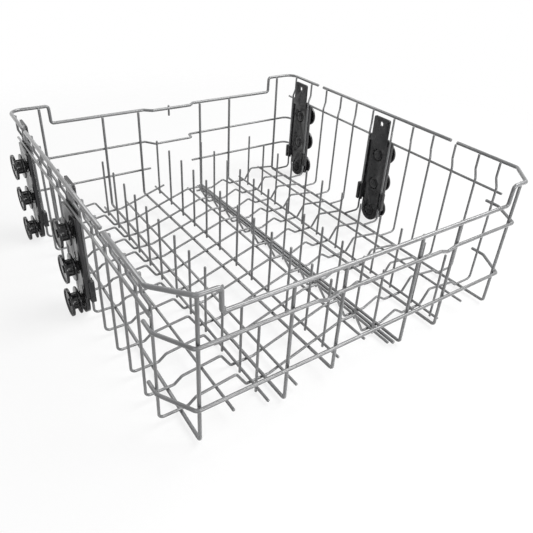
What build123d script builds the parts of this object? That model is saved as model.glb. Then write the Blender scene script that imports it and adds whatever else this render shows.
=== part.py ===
"""Upper dishwasher basket of coated wire with four roller carriers.

Millimetres, +Z up, front at -Y. The basket stands on the troughs of its cross wires at Z = 0.
"""
import os
from math import atan2, cos

from build123d import *

# Wire radii, coating included
R_RIM = 2.4
R_RAIL = 2.1
R_LOOP = 2.0
R_CENTRE = 2.2
R_ROD = 1.7
R_TINE = 1.55
R_CROSS = 1.6
R_SIDE = 1.75
R_BACK = 1.8
R_STUB = 1.6
END_ROUND = 0.6
WELD_GAP = 0.02

# Rim
RIM_X = 248.5
RIM_Y = 255.0
RIM_Z = 184.3
RIM_CHAMFER_X = 29.0
RIM_CHAMFER_Y = 31.8
RIM_BEND = 6.0
BACK_BEND = 16.0
DIP = 26.0
FRONT_DIP_X = 195.9
BACK_DIP_X = 194.4
DIP_LEAN = 0.6
DIP_BEND = 4.2
RIM_LAP = 8.0
RIM_BREAK = 9.0
RIM_BACK_LAP = 13.5
RIM_BACK_BREAK = 13.0

# Side walls and the cross wires along the depth
WALL_X = 240.0
CROSS_TOP_DROP = 0.8
JOG_TOP_DROP = 21.8
JOG_LOW_DROP = 32.3
JOG_BACK = 0.016
WALL_BEND = 6.0
FLOOR_BEND = 4.5
FIRST_CROSS_Y = -209.0
CROSS_GAPS = [33.0] + [39.5] * 4 + [46.5] + [39.5] * 3 + [43.0, 46.5]
SPLIT_LEFT_X = -28.0
SPLIT_RIGHT_X = 34.0

# Floor of the cross wires, left to right
SHELF_IN_X = 208.0
STEP_X = 198.5
STEP_Z = 16.5
HUMP_X = 151.0
HUMP_Z = 22.5
TROUGH_X = 138.0
RAMP_X = -108.0
CREST_X = (-8.0, 16.0)
CREST_Z = 34.3
MIDDLE_X = (33.0, 66.0)
PEAK_X = 89.0
PEAK_Z = 12.3
PEAK_END_X = 104.0

# Second side wires, front rails and back wires
SIDE_WIRE_DROP = 38.8
SIDE_WIRE_Y = (-217.0, 254.0)
MID_RAIL_DROP = 56.5
LOW_RAIL_Z = 52.0
RAIL_BEND = 6.0
RAIL_BEND_X = 221.0
RAIL_BEND_Y = -216.7
RAIL_END_Y = -197.0
BUMP_X = (100.0, -77.0)
BUMP_REACH = 13.0
BUMP_DROP = 4.0
BUMP_BEND = 8.0
BACK_MID_Z = 104.7
BACK_LOW_Z = 55.3
JOG_BEND = 5.0
RIM_JOG = 9.0
RIM_JOG_LEFT = (-49.0, -37.0)
RIM_JOG_RIGHT = (30.0, 40.0)
MID_JOG = 16.5
MID_JOG_LEFT = (-51.0, -39.0)
MID_JOG_RIGHT = (28.0, 30.0)
LOW_LEFT_END = -43.0
LOW_RIGHT_END = 35.0
BACK_WIRE_SHORT = 2.6
BACK_WIRE_BEND = 14.0
STUB_X = -7.0
STUB_ABOVE = 4.0
STUB_BELOW = 14.0

# Loops from the front wall under the floor to the back wall
LOOP_FRONT_X = (-216.5, -116.5, -52.5, 56.0, 118.0, 217.0)
LOOP_BACK_X = (-209.5, -118.5, -60.0, 51.0, 109.5, 210.5)
LOOP_BEND = 4.0
LOOP_TOP_DROP = 0.8

# Floor rods and tine rows
ROD_FRONT_Y = -245.0
ROD_BACK_PAST = 12.0
TINE_LENGTH = 94.0
TINE_BELOW = 2.0
TINE_ROUND = 0.8
ROW_X = (-132.5, -38.5, 42.5, 132.0)
ROW_SHIFT = (-16.0, -11.0, -11.0, -25.5)
ROW_2_BACK_Y = 252.0
SUPPORT_X = 175.0
RAMP_ROD_X = -96.0
CREST_ROD_X = -1.0
CREST_ROD_PAST = 11.0
CENTRE_ROD_X = (48.3, 46.6)
CENTRE_ROD_FRONT_Y = -249.0

# Roller carriers
CARRIER_GAP = 0.25
PLATE_OFF = 0.4
PLATE_W = 50.0
PLATE_LOW_Z = 34.0
LOBE_R = 18.0
TAB_T = 3.0
TAB_W = 33.0
TAB_TOP_DROP = 4.8
TAB_ROUND = 3.0
TAB_HOLE_R = 3.6
TAB_HOLE_DROP = 9.7
HOOK_W = 38.0
HOOK_T = 5.0
HOOK_LAP = 1.0
SHOULDER_RISE = 4.0
LIP_T = 1.6
LIP_RISE = 1.0
CLIP_LOW_Z = 30.0
CLIP_TOP_Z = 59.5
CLIP_FREE = 1.0
CLIP_REACH = 6.75
CLIP_INSIDE = 3.75
CLIP_DEPTH = 3.4
CLIP_LAP = 1.0
CLIP_MOUTH = 2.9
CLIP_ROUND = 1.0
SLOT_R = (8.4, 10.4)
SLOT_BRIDGE = 7.0
SLOT_LAP = 1.0
BOSS_R = 6.0
BOSS_H = 0.8

# Axles and rollers
AXLE_LOW_Z = 18.5
AXLE_TOP_DROP = 28.0
PIN_R = 3.0
PIN_HEAD_R = 6.0
PIN_HEAD_T = 1.5
PIN_CAP_R = 5.0
PIN_CAP_T = 1.0
PIN_ROUND = 0.25
RUN_CLEARANCE = 0.05
AXIAL_PLAY = 0.3
HUB_IN_R = 9.25
HUB_IN_L = 3.0
FLANGE_IN_R = 17.5
FLANGE_T = 2.0
GROOVE_R = 9.5
GROOVE_L = 7.5
FLANGE_OUT_R = 18.0
FLANGE_RIM_W = 1.6
FLANGE_RIM_H = 1.3
FLANGE_ROUND = 0.5
ROLLER_RIBS = 8
ROLLER_RIB_W = 1.6
ROLLER_RIB_H = 1.0

# Positions worked out from the sizes above
cross_y = [FIRST_CROSS_Y + sum(CROSS_GAPS[:i]) for i in range(len(CROSS_GAPS) + 1)]
trough_z = R_CROSS
jog_top_z = RIM_Z - JOG_TOP_DROP
jog_low_z = RIM_Z - JOG_LOW_DROP
side_wire_z = RIM_Z - SIDE_WIRE_DROP
mid_rail_z = RIM_Z - MID_RAIL_DROP
loop_z = trough_z + R_CROSS + R_LOOP + WELD_GAP
shelf_z = loop_z + R_LOOP + R_CROSS + WELD_GAP
wall_top_x = RIM_X - R_RIM - R_CROSS - WELD_GAP
loop_y = RIM_Y - R_RIM - R_LOOP - WELD_GAP
rail_y = loop_y + R_LOOP + R_RAIL + WELD_GAP
rail_x = WALL_X + R_CROSS + R_RAIL + WELD_GAP
back_wire_y = loop_y + R_LOOP + R_BACK + WELD_GAP
back_wire_x = WALL_X + R_CROSS + R_BACK + WELD_GAP
side_wire_x = WALL_X + R_CROSS + R_SIDE + WELD_GAP
rod_back_y = cross_y[-1] + ROD_BACK_PAST

floor = [
    (-WALL_X, shelf_z),
    (-SHELF_IN_X, shelf_z),
    (-STEP_X, STEP_Z),
    (-HUMP_X, HUMP_Z),
    (-TROUGH_X, trough_z),
    (RAMP_X, trough_z),
    (CREST_X[0], CREST_Z),
    (CREST_X[1], CREST_Z),
    (MIDDLE_X[0], trough_z),
    (MIDDLE_X[1], trough_z),
    (PEAK_X, PEAK_Z),
    (PEAK_END_X, trough_z),
    (TROUGH_X, trough_z),
    (HUMP_X, HUMP_Z),
    (STEP_X, STEP_Z),
    (SHELF_IN_X, shelf_z),
    (WALL_X, shelf_z),
]


def floor_touch(x, radius, above):
    """Height of a rod of this radius that touches the cross wires at x, above or below them."""
    for (x0, z0), (x1, z1) in zip(floor, floor[1:]):
        if x0 <= x <= x1:
            slope = atan2(z1 - z0, x1 - x0)
            rise = (R_CROSS + radius + WELD_GAP) / cos(slope)
            line_z = z0 + (z1 - z0) * (x - x0) / (x1 - x0)
            return line_z + rise if above else line_z - rise


def wire(label, radius, runs):
    """One STEP file of round wire: each run is a list of points and the radii of its bends."""
    with BuildPart() as rod:
        for points, bends in runs:
            with BuildLine() as path:
                if bends:
                    FilletPolyline(*points, radius=bends)
                else:
                    Line(*points)
            with BuildSketch(Plane(origin=path.line @ 0, z_dir=path.line % 0)):
                Circle(radius)
            sweep()
        fillet(rod.faces().filter_by(GeomType.PLANE).edges(), radius * END_ROUND)
    rod.part.label = label
    export_step(rod.part, f"parts/{label}.step")


def mirrored(points):
    """The same points on the other side of the middle plane, in reverse order."""
    return [(-x, y, z) for x, y, z in reversed(points)]


def wall_plane(side, x, y):
    """Plane of a side wall at distance x: its x runs along the wall, its y is up, its z points out."""
    return Plane(origin=(side * x, y, 0), x_dir=(0, side, 0), z_dir=(side, 0, 0))


def axle_plane(side, x, y, z):
    """Plane through an axle: its x points out along the axle, its y is up."""
    return Plane(origin=(side * x, y, z), x_dir=(side, 0, 0), z_dir=(0, -side, 0))


os.makedirs("parts", exist_ok=True)

# Front rim wire
front_half = [
    (RIM_X, cross_y[2] + RIM_LAP, RIM_Z),
    (RIM_X, RIM_CHAMFER_Y - RIM_Y, RIM_Z),
    (RIM_X - RIM_CHAMFER_X, -RIM_Y, RIM_Z),
    (FRONT_DIP_X + DIP_LEAN, -RIM_Y, RIM_Z),
    (FRONT_DIP_X, -RIM_Y, RIM_Z - DIP),
]
front_points = front_half + mirrored(front_half)
front_bends = [RIM_BEND, RIM_BEND, DIP_BEND, DIP_BEND]
wire("front_rim", R_RIM, [(front_points, front_bends + front_bends[::-1])])

# Back rim wire, jogged in at the centre
back_half = [
    (RIM_X, cross_y[10] - RIM_BACK_LAP, RIM_Z),
    (RIM_X, RIM_Y, RIM_Z),
    (BACK_DIP_X + DIP_LEAN, RIM_Y, RIM_Z),
    (BACK_DIP_X, RIM_Y, RIM_Z - DIP),
]
back_bends = [BACK_BEND, DIP_BEND, DIP_BEND]
rim_jog = [
    (RIM_JOG_RIGHT[1], RIM_Y, RIM_Z - DIP),
    (RIM_JOG_RIGHT[0], RIM_Y - RIM_JOG, RIM_Z - DIP),
    (RIM_JOG_LEFT[1], RIM_Y - RIM_JOG, RIM_Z - DIP),
    (RIM_JOG_LEFT[0], RIM_Y, RIM_Z - DIP),
]
back_points = back_half + rim_jog + mirrored(back_half)
wire("back_rim", R_RIM, [(back_points, back_bends + [JOG_BEND] * 4 + back_bends[::-1])])

# Straight rim wires and second wires of the two sides
for side, name in ((-1, "left"), (1, "right")):
    side_rim = [
        (side * RIM_X, cross_y[2] + RIM_LAP + RIM_BREAK, RIM_Z),
        (side * RIM_X, cross_y[10] - RIM_BACK_LAP - RIM_BACK_BREAK, RIM_Z),
    ]
    wire(f"side_rim_{name}", R_RIM, [(side_rim, None)])
    side_wire = [(side * side_wire_x, y, side_wire_z) for y in SIDE_WIRE_Y]
    wire(f"side_wire_{name}", R_SIDE, [(side_wire, None)])

# Front rails outside the loops
for name, rail_z, bumps in (("mid", mid_rail_z, True), ("low", LOW_RAIL_Z, False)):
    rail_end = [
        (rail_x, RAIL_END_Y, rail_z),
        (rail_x, RAIL_BEND_Y, rail_z),
        (RAIL_BEND_X, -rail_y, rail_z),
    ]
    rail_bumps = []
    for bump_x in BUMP_X if bumps else ():
        rail_bumps += [
            (bump_x + BUMP_REACH, -rail_y, rail_z),
            (bump_x, -rail_y, rail_z - BUMP_DROP),
            (bump_x - BUMP_REACH, -rail_y, rail_z),
        ]
    rail_points = rail_end + rail_bumps + mirrored(rail_end)
    rail_bends = [RAIL_BEND] * 2 + [BUMP_BEND] * len(rail_bumps) + [RAIL_BEND] * 2
    wire(f"front_{name}_rail", R_RAIL, [(rail_points, rail_bends)])

# Back wires outside the loops, the middle one jogged in at the centre
mid_half = [
    (back_wire_x, cross_y[-1] + BACK_WIRE_SHORT, BACK_MID_Z),
    (back_wire_x, back_wire_y, BACK_MID_Z),
]
mid_jog = [
    (MID_JOG_RIGHT[1], back_wire_y, BACK_MID_Z),
    (MID_JOG_RIGHT[0], back_wire_y - MID_JOG, BACK_MID_Z),
    (MID_JOG_LEFT[1], back_wire_y - MID_JOG, BACK_MID_Z),
    (MID_JOG_LEFT[0], back_wire_y, BACK_MID_Z),
]
mid_points = mid_half + mid_jog + mirrored(mid_half)
wire("back_mid_wire", R_BACK, [(mid_points, [BACK_WIRE_BEND] + [JOG_BEND] * 4 + [BACK_WIRE_BEND])])
low_runs = []
for side, low_end in ((-1, LOW_LEFT_END), (1, LOW_RIGHT_END)):
    low_points = [
        (side * back_wire_x, cross_y[-1] + BACK_WIRE_SHORT, BACK_LOW_Z),
        (side * back_wire_x, back_wire_y, BACK_LOW_Z),
        (low_end, back_wire_y, BACK_LOW_Z),
    ]
    low_runs.append((low_points, [BACK_WIRE_BEND]))
wire("back_low_wires", R_BACK, low_runs)

# Upright stub behind the jog of the back rim
stub_y = RIM_Y - RIM_JOG + R_RIM + R_STUB + WELD_GAP
stub_z = RIM_Z - DIP
stub = [(STUB_X, stub_y, stub_z + STUB_ABOVE), (STUB_X, stub_y, stub_z - STUB_BELOW)]
wire("back_stub", R_STUB, [(stub, None)])

# Cross wires: the jog of the wall also leads back, and the backmost wire is open at the centre
wall_bends = [WALL_BEND] * 3
for number, y in enumerate(cross_y, start=1):
    top_y = y + JOG_BACK * (cross_y[-1] - y)
    right_wall = [
        (WALL_X, y, jog_low_z),
        (wall_top_x, top_y, jog_top_z),
        (wall_top_x, top_y, RIM_Z - CROSS_TOP_DROP),
    ]
    left_wall = mirrored(right_wall)
    run = [(x, y, z) for x, z in floor]
    if y < cross_y[-1]:
        floor_bends = [FLOOR_BEND] * (len(floor) - 2)
        runs = [(left_wall + run + right_wall, wall_bends + floor_bends + wall_bends)]
    else:
        ramp_z = floor_touch(SPLIT_LEFT_X, -R_CROSS - WELD_GAP, True)
        left = left_wall + run[:6] + [(SPLIT_LEFT_X, y, ramp_z)]
        right = [(SPLIT_RIGHT_X, y, trough_z)] + run[9:] + right_wall
        runs = [
            (left, wall_bends + [FLOOR_BEND] * 5),
            (right, [FLOOR_BEND] * 7 + wall_bends),
        ]
    wire(f"cross_wire_{number:02d}", R_CROSS, runs)

# Loops: the outer two reach the rim itself, and the third runs under the ramp of the cross wires
for number, (front_x, back_x) in enumerate(zip(LOOP_FRONT_X, LOOP_BACK_X), start=1):
    top_z = RIM_Z - LOOP_TOP_DROP if number in (1, 6) else RIM_Z - DIP - LOOP_TOP_DROP
    front_z = floor_touch(front_x, R_LOOP, False) if number == 3 else loop_z
    back_z = floor_touch(back_x, R_LOOP, False) if number == 3 else loop_z
    loop = [
        (front_x, -loop_y, top_z),
        (front_x, -loop_y, front_z),
        (back_x, loop_y, back_z),
        (back_x, loop_y, top_z),
    ]
    wire(f"loop_{number}", R_LOOP, [(loop, [LOOP_BEND] * 2)])

# Floor rods without tines
crest_back_y = cross_y[-2] + CREST_ROD_PAST
rods = [
    ((-SUPPORT_X, -SUPPORT_X), R_ROD, False, ROD_FRONT_Y, rod_back_y),
    ((RAMP_ROD_X, RAMP_ROD_X), R_ROD, True, ROD_FRONT_Y, rod_back_y),
    ((CREST_ROD_X, CREST_ROD_X), R_ROD, False, ROD_FRONT_Y, crest_back_y),
    (CENTRE_ROD_X, R_CENTRE, True, CENTRE_ROD_FRONT_Y, rod_back_y),
    ((SUPPORT_X, SUPPORT_X), R_ROD, False, ROD_FRONT_Y, rod_back_y),
]
for number, ((front_x, back_x), radius, above, front_y, back_y) in enumerate(rods, start=1):
    z = floor_touch(front_x, radius, above)
    wire(f"floor_rod_{number}", radius, [([(front_x, front_y, z), (back_x, back_y, z)], None)])

# Tine rows: twelve tines along one side of a floor rod
for number, (x, shift) in enumerate(zip(ROW_X, ROW_SHIFT), start=1):
    second = number == 2
    z = floor_touch(x, R_ROD, not second)
    back_y = ROW_2_BACK_Y if second else rod_back_y
    tine_x = x - R_ROD - R_TINE - WELD_GAP
    with BuildPart() as row:
        with BuildSketch(Plane(origin=(x, ROD_FRONT_Y, z), z_dir=(0, 1, 0))):
            Circle(R_ROD)
        extrude(amount=back_y - ROD_FRONT_Y)
        fillet(row.faces().filter_by(GeomType.PLANE).edges(), R_ROD * END_ROUND)
        with BuildSketch(Plane.XY.offset(z - TINE_BELOW)):
            with Locations(*[(tine_x, y + shift) for y in cross_y]):
                Circle(R_TINE)
        extrude(amount=TINE_LENGTH + TINE_BELOW)
        tine_ends = row.faces().filter_by(GeomType.PLANE).filter_by(Axis.Z)
        fillet(tine_ends.edges(), R_TINE * TINE_ROUND)
    row.part.label = f"tine_row_{number}"
    export_step(row.part, f"parts/tine_row_{number}.step")

# Roller carriers with their axles and rollers
plate_in = WALL_X + R_CROSS + PLATE_OFF
tab_in = side_wire_x - R_SIDE - CARRIER_GAP - TAB_T
lip_in = side_wire_x + R_SIDE + CARRIER_GAP
plate_out = lip_in + LIP_T
plate_top = side_wire_z - R_SIDE - CARRIER_GAP
hook_low = plate_top - HOOK_T
shoulder_top = side_wire_z + SHOULDER_RISE
lip_top = side_wire_z + LIP_RISE
tab_top = RIM_Z - TAB_TOP_DROP
axle_top_z = side_wire_z - AXLE_TOP_DROP
axle_z = (AXLE_LOW_Z, (AXLE_LOW_Z + axle_top_z) / 2, axle_top_z)
half_gap = CROSS_GAPS[5] / 2
clip_w = CLIP_INSIDE + CLIP_REACH
back_clip_top = BACK_LOW_Z - R_BACK - CLIP_FREE
clip_out = plate_in + CLIP_LAP - WALL_X
clip_x = (clip_out - CLIP_DEPTH) / 2
clip_t = clip_out + CLIP_DEPTH
roller_in = plate_out + BOSS_H + AXIAL_PLAY
bore_r = PIN_R + RUN_CLEARANCE
flange_in_x = HUB_IN_L
groove_x = flange_in_x + FLANGE_T
flange_out_x = groove_x + GROOVE_L
face_x = flange_out_x + FLANGE_T
rim_x = face_x + FLANGE_RIM_H
cap_x = roller_in - plate_in + face_x + AXIAL_PLAY
dish_r = FLANGE_OUT_R - FLANGE_RIM_W
spots = [(0, z) for z in axle_z]

pin_outline = [
    (-WELD_GAP - PIN_HEAD_T, 0),
    (-WELD_GAP - PIN_HEAD_T, PIN_HEAD_R),
    (-WELD_GAP, PIN_HEAD_R),
    (-WELD_GAP, PIN_R),
    (cap_x, PIN_R),
    (cap_x, PIN_CAP_R),
    (cap_x + PIN_CAP_T, PIN_CAP_R),
    (cap_x + PIN_CAP_T, 0),
]
roller_outline = [
    (0, bore_r),
    (0, HUB_IN_R),
    (flange_in_x, HUB_IN_R),
    (flange_in_x, FLANGE_IN_R),
    (groove_x, FLANGE_IN_R),
    (groove_x, GROOVE_R),
    (flange_out_x, GROOVE_R),
    (flange_out_x, FLANGE_OUT_R),
    (rim_x, FLANGE_OUT_R),
    (rim_x, dish_r),
    (face_x, dish_r),
    (face_x, bore_r),
]


def carrier(label, side, y, clip_top):
    """Moulded carrier: its channel takes the second side wire and its clips take two cross wires."""
    with BuildPart() as body:
        with BuildSketch(wall_plane(side, plate_in, y)):
            with Locations((0, (plate_top + PLATE_LOW_Z) / 2)):
                Rectangle(PLATE_W, plate_top - PLATE_LOW_Z)
            with Locations((0, AXLE_LOW_Z)):
                Circle(LOBE_R)
            with Locations((0, (AXLE_LOW_Z + PLATE_LOW_Z) / 2)):
                Rectangle(2 * LOBE_R, PLATE_LOW_Z - AXLE_LOW_Z)
            with Locations(*spots):
                Circle(SLOT_R[1], mode=Mode.SUBTRACT)
            with Locations(*spots):
                Circle(SLOT_R[0])
            with Locations(*[(0, z + (SLOT_R[0] + SLOT_R[1]) / 2) for z in axle_z]):
                Rectangle(SLOT_BRIDGE, SLOT_R[1] - SLOT_R[0] + 2 * SLOT_LAP)
            with Locations(*spots):
                Circle(PIN_R + WELD_GAP, mode=Mode.SUBTRACT)
        extrude(amount=plate_out - plate_in)
        with BuildSketch(wall_plane(side, plate_out, y)):
            with Locations(*spots):
                Circle(BOSS_R)
            with Locations(*spots):
                Circle(PIN_R + WELD_GAP, mode=Mode.SUBTRACT)
        extrude(amount=BOSS_H)
        with BuildSketch(wall_plane(side, tab_in, y)) as tab:
            with Locations((0, (tab_top + hook_low) / 2)):
                Rectangle(TAB_W, tab_top - hook_low)
            fillet(tab.vertices(), TAB_ROUND)
            with Locations((0, tab_top - TAB_HOLE_DROP)):
                Circle(TAB_HOLE_R, mode=Mode.SUBTRACT)
            with Locations((0, (shoulder_top + hook_low) / 2)):
                Rectangle(HOOK_W, shoulder_top - hook_low)
        extrude(amount=TAB_T)
        with BuildSketch(wall_plane(side, tab_in, y)):
            with Locations((0, (plate_top + hook_low) / 2)):
                Rectangle(HOOK_W, HOOK_T)
        extrude(amount=plate_in - tab_in + HOOK_LAP)
        with BuildSketch(wall_plane(side, lip_in, y)):
            with Locations((0, (lip_top + hook_low) / 2)):
                Rectangle(HOOK_W, lip_top - hook_low)
        extrude(amount=LIP_T)
        foot = Plane(origin=(side * WALL_X, y, CLIP_LOW_Z), x_dir=(side, 0, 0), z_dir=(0, 0, 1))
        with BuildSketch(foot) as clips:
            for end in (-1, 1):
                with Locations((clip_x, end * (half_gap + (CLIP_REACH - CLIP_INSIDE) / 2))):
                    Rectangle(clip_t, clip_w)
            fillet(clips.vertices(), CLIP_ROUND)
            for end in (-1, 1):
                with Locations((0, end * half_gap)):
                    Circle(R_CROSS + CARRIER_GAP, mode=Mode.SUBTRACT)
                with Locations((-CLIP_DEPTH / 2, end * half_gap)):
                    Rectangle(CLIP_DEPTH, CLIP_MOUTH, mode=Mode.SUBTRACT)
        extrude(amount=clip_top - CLIP_LOW_Z)
    body.part.label = label
    export_step(body.part, f"parts/{label}.step")


def axles(label, side, y):
    """Three axle pins, each with a head inside the plate and a cap outside its roller."""
    with BuildPart() as pins:
        for z in axle_z:
            with BuildSketch(axle_plane(side, plate_in, y, z)):
                Polygon(*pin_outline, align=None)
            revolve(axis=Axis((0, y, z), (side, 0, 0)))
        rims = pins.edges().filter_by(GeomType.CIRCLE).filter_by(lambda e: e.radius > PIN_R)
        fillet(rims, PIN_ROUND)
    pins.part.label = label
    export_step(pins.part, f"parts/{label}.step")


def roller(label, side, y, z):
    """Spool with two flanges, a ribbed groove and a dished outer face."""
    with BuildPart() as spool:
        with BuildSketch(axle_plane(side, roller_in, y, z)):
            Polygon(*roller_outline, align=None)
        revolve(axis=Axis((0, y, z), (side, 0, 0)))
        edges = spool.edges().filter_by(GeomType.CIRCLE)
        fillet(edges.filter_by(lambda e: e.radius >= FLANGE_IN_R), FLANGE_ROUND)
        with BuildSketch(wall_plane(side, roller_in + groove_x, y)):
            with Locations((0, z)):
                with PolarLocations(GROOVE_R, ROLLER_RIBS):
                    Rectangle(2 * ROLLER_RIB_H, ROLLER_RIB_W)
        extrude(amount=GROOVE_L)
    spool.part.label = label
    export_step(spool.part, f"parts/{label}.step")


# Carriers with their pins and rollers: the clips at the back stop under the back low wires
for side, side_name in ((-1, "left"), (1, "right")):
    for place, first, clip_top in (("front", 5, CLIP_TOP_Z), ("back", 10, back_clip_top)):
        centre_y = (cross_y[first] + cross_y[first + 1]) / 2
        name = f"{side_name}_{place}"
        carrier(f"carrier_{name}", side, centre_y, clip_top)
        axles(f"axles_{name}", side, centre_y)
        for level, z in zip(("low", "mid", "top"), axle_z):
            roller(f"roller_{name}_{level}", side, centre_y, z)
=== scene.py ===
"""Looks of an upper dishwasher basket: grey coated wire, black roller carriers and spinning rollers.

Every wire is swept along its own path with Geometry Nodes, the welds get the small pools that dip
coating leaves, the rollers and pins are turned, and the moulded carriers get rounded edges.
Sizes are in millimetres and become metres where a mesh is made.
"""

import logging
import math
from collections.abc import Sequence
from dataclasses import dataclass, field
from enum import Enum

import bmesh
import bpy
from bpy.types import Material, Mesh, NodeSocket, NodeTree, Object
from mathutils import Matrix, Vector

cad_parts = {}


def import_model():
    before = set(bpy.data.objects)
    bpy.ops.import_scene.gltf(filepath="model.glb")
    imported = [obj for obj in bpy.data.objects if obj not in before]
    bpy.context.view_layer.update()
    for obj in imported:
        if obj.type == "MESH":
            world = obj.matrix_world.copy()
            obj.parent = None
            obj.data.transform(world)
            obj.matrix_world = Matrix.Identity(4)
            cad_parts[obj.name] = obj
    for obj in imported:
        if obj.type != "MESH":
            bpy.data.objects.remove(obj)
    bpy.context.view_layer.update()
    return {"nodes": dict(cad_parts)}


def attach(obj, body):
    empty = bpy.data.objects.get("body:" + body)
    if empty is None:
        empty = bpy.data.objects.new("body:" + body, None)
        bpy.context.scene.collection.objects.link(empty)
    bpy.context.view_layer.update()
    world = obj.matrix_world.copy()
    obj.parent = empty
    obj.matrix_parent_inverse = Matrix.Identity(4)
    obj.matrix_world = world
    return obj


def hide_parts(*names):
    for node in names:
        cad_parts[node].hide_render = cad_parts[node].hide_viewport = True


MM = 0.001
IMAGE_PX = 533
BASKET = "basket"
COLOUR_SPAN = (0.32, 0.68)
ROUGHNESS_SPAN = (0.3, 0.7)
PLASTIC_IOR = 1.5
SHARP_ANGLE = math.radians(40.0)
log = logging.getLogger("dishwasher_basket")

Point = tuple[float, float, float]
Pair = tuple[float, float]
Colour = tuple[float, float, float]


class Slot(Enum):
    """Material slots of the record."""

    WIRE = "coated_wire"
    CARRIER = "carrier_plastic"
    ROLLER = "roller_plastic"


class Side(Enum):
    """The two side walls, with the sign of their X."""

    LEFT = -1
    RIGHT = 1

    @property
    def word(self) -> str:
        """The side's name as the CAD nodes spell it."""
        return self.name.lower()


@dataclass(frozen=True)
class Run:
    """One length of wire: corner points, the radius of each bend and the wire's own radius, in mm."""

    points: list[Point]
    bends: list[float]
    radius: float


def add_node(
    tree: NodeTree,
    kind: str,
    values: dict[str | int, object] | None = None,
    links: dict[str | int, NodeSocket] | None = None,
    output: str | int = 0,
    **settings: str,
) -> NodeSocket:
    """Add a node to a tree.

    Args:
        tree: The node tree.
        kind: The node's type.
        values: Values of its inputs, by name or index.
        links: Outputs of other nodes that lead to its inputs, by name or index.
        output: Which of its outputs is wanted, by name or index.
        settings: The node's own settings.

    Returns:
        The wanted output of the new node.
    """
    node = tree.nodes.new(kind)
    for key, setting in settings.items():
        setattr(node, key, setting)
    for key, value in (values or {}).items():
        node.inputs[key].default_value = value
    for key, socket in (links or {}).items():
        tree.links.new(socket, node.inputs[key])
    return node.outputs[output]


class Look:
    """A material in the making: a Principled shader whose textures follow Object coordinates."""

    def __init__(self, name: str) -> None:
        """Start the material.

        Args:
            name: The material's name.
        """
        self.material = bpy.data.materials.new(name)
        self.material.use_nodes = True
        self.tree = self.material.node_tree
        self.shader = self.tree.nodes["Principled BSDF"]
        self.coords = add_node(self.tree, "ShaderNodeTexCoord", output="Object")

    def noise(self, scale: float, detail: float) -> NodeSocket:
        """Value of a new noise texture, from its scale per metre and its octaves of detail."""
        values = {"Scale": scale, "Detail": detail}
        return add_node(self.tree, "ShaderNodeTexNoise", values, {"Vector": self.coords}, "Fac")

    def colour(self, value: NodeSocket, dark: Colour, light: Colour) -> None:
        """Spread a value between two base colours.

        Args:
            value: Output that drives the ramp.
            dark: Colour at the low end.
            light: Colour at the high end.
        """
        blend = add_node(self.tree, "ShaderNodeValToRGB", links={"Fac": value})
        for stop, place, tone in zip(blend.node.color_ramp.elements, COLOUR_SPAN, (dark, light)):
            stop.position = place
            stop.color = (*tone, 1.0)
        self.tree.links.new(blend, self.shader.inputs["Base Color"])

    def roughness(self, value: NodeSocket, limits: Pair) -> None:
        """Spread a value between two limits of roughness.

        Args:
            value: Output that drives the range.
            limits: Lowest and highest roughness.
        """
        ends = dict(zip(("From Min", "From Max", "To Min", "To Max"), (*ROUGHNESS_SPAN, *limits)))
        spread = add_node(self.tree, "ShaderNodeMapRange", ends, {"Value": value})
        self.tree.links.new(spread, self.shader.inputs["Roughness"])

    def bump(self, height: NodeSocket, depth: float, strength: float) -> None:
        """Add a fine relief.

        Args:
            height: Output that gives the height.
            depth: Depth of the relief in metres.
            strength: Strength of the bump.
        """
        values = {"Strength": strength, "Distance": depth}
        relief = add_node(self.tree, "ShaderNodeBump", values, {"Height": height})
        self.tree.links.new(relief, self.shader.inputs["Normal"])

    def constants(self, values: dict[str, float]) -> None:
        """Set inputs of the shader that do not vary, by their names."""
        for key, value in values.items():
            self.shader.inputs[key].default_value = value


@dataclass(frozen=True)
class Finish:
    """A finish whose colour and roughness drift together, with a fine relief on top.

    A texture is given as its scale per metre and its octaves of detail.
    """

    name: str
    dark: Colour
    light: Colour
    roughness: Pair
    drift: Pair
    relief: Pair
    relief_depth: float
    relief_strength: float

    def look(self) -> Look:
        """Start the material with its drifting colour and roughness.

        Returns:
            The material in the making.
        """
        look = Look(self.name)
        drift = look.noise(*self.drift)
        look.colour(drift, self.dark, self.light)
        look.roughness(drift, self.roughness)
        look.constants({"IOR": PLASTIC_IOR})
        return look

    def material(self) -> Material:
        """Build the node material.

        Returns:
            The finish's material.
        """
        look = self.look()
        look.bump(look.noise(*self.relief), self.relief_depth, self.relief_strength)
        return look.material


@dataclass(frozen=True)
class Coat(Finish):
    """Satin dip coat of the wires: an uneven grey with a fine orange peel under a clear gloss."""

    name: str = "coated_wire_satin_grey"
    dark: Colour = (0.105, 0.106, 0.109)
    light: Colour = (0.152, 0.154, 0.158)
    roughness: Pair = (0.30, 0.40)
    drift: Pair = (34.0, 3.0)
    relief: Pair = (620.0, 2.0)
    relief_depth: float = 0.00003
    relief_strength: float = 0.35
    gloss: float = 0.9
    gloss_roughness: float = 0.14
    gloss_ior: float = 1.65

    def look(self) -> Look:
        """Start the material and add its gloss.

        Returns:
            The material in the making.
        """
        look = super().look()
        look.constants({"Coat Weight": self.gloss, "Coat IOR": self.gloss_ior})
        look.constants({"Coat Roughness": self.gloss_roughness})
        return look


@dataclass(frozen=True)
class MouldedPlastic(Finish):
    """Black moulded plastic of the carriers, with a fine grain and slightly uneven gloss."""

    name: str = "carrier_black_plastic"
    dark: Colour = (0.012, 0.012, 0.013)
    light: Colour = (0.026, 0.026, 0.028)
    roughness: Pair = (0.14, 0.22)
    drift: Pair = (60.0, 4.0)
    relief: Pair = (1900.0, 2.0)
    relief_depth: float = 0.00005
    relief_strength: float = 0.4


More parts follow.
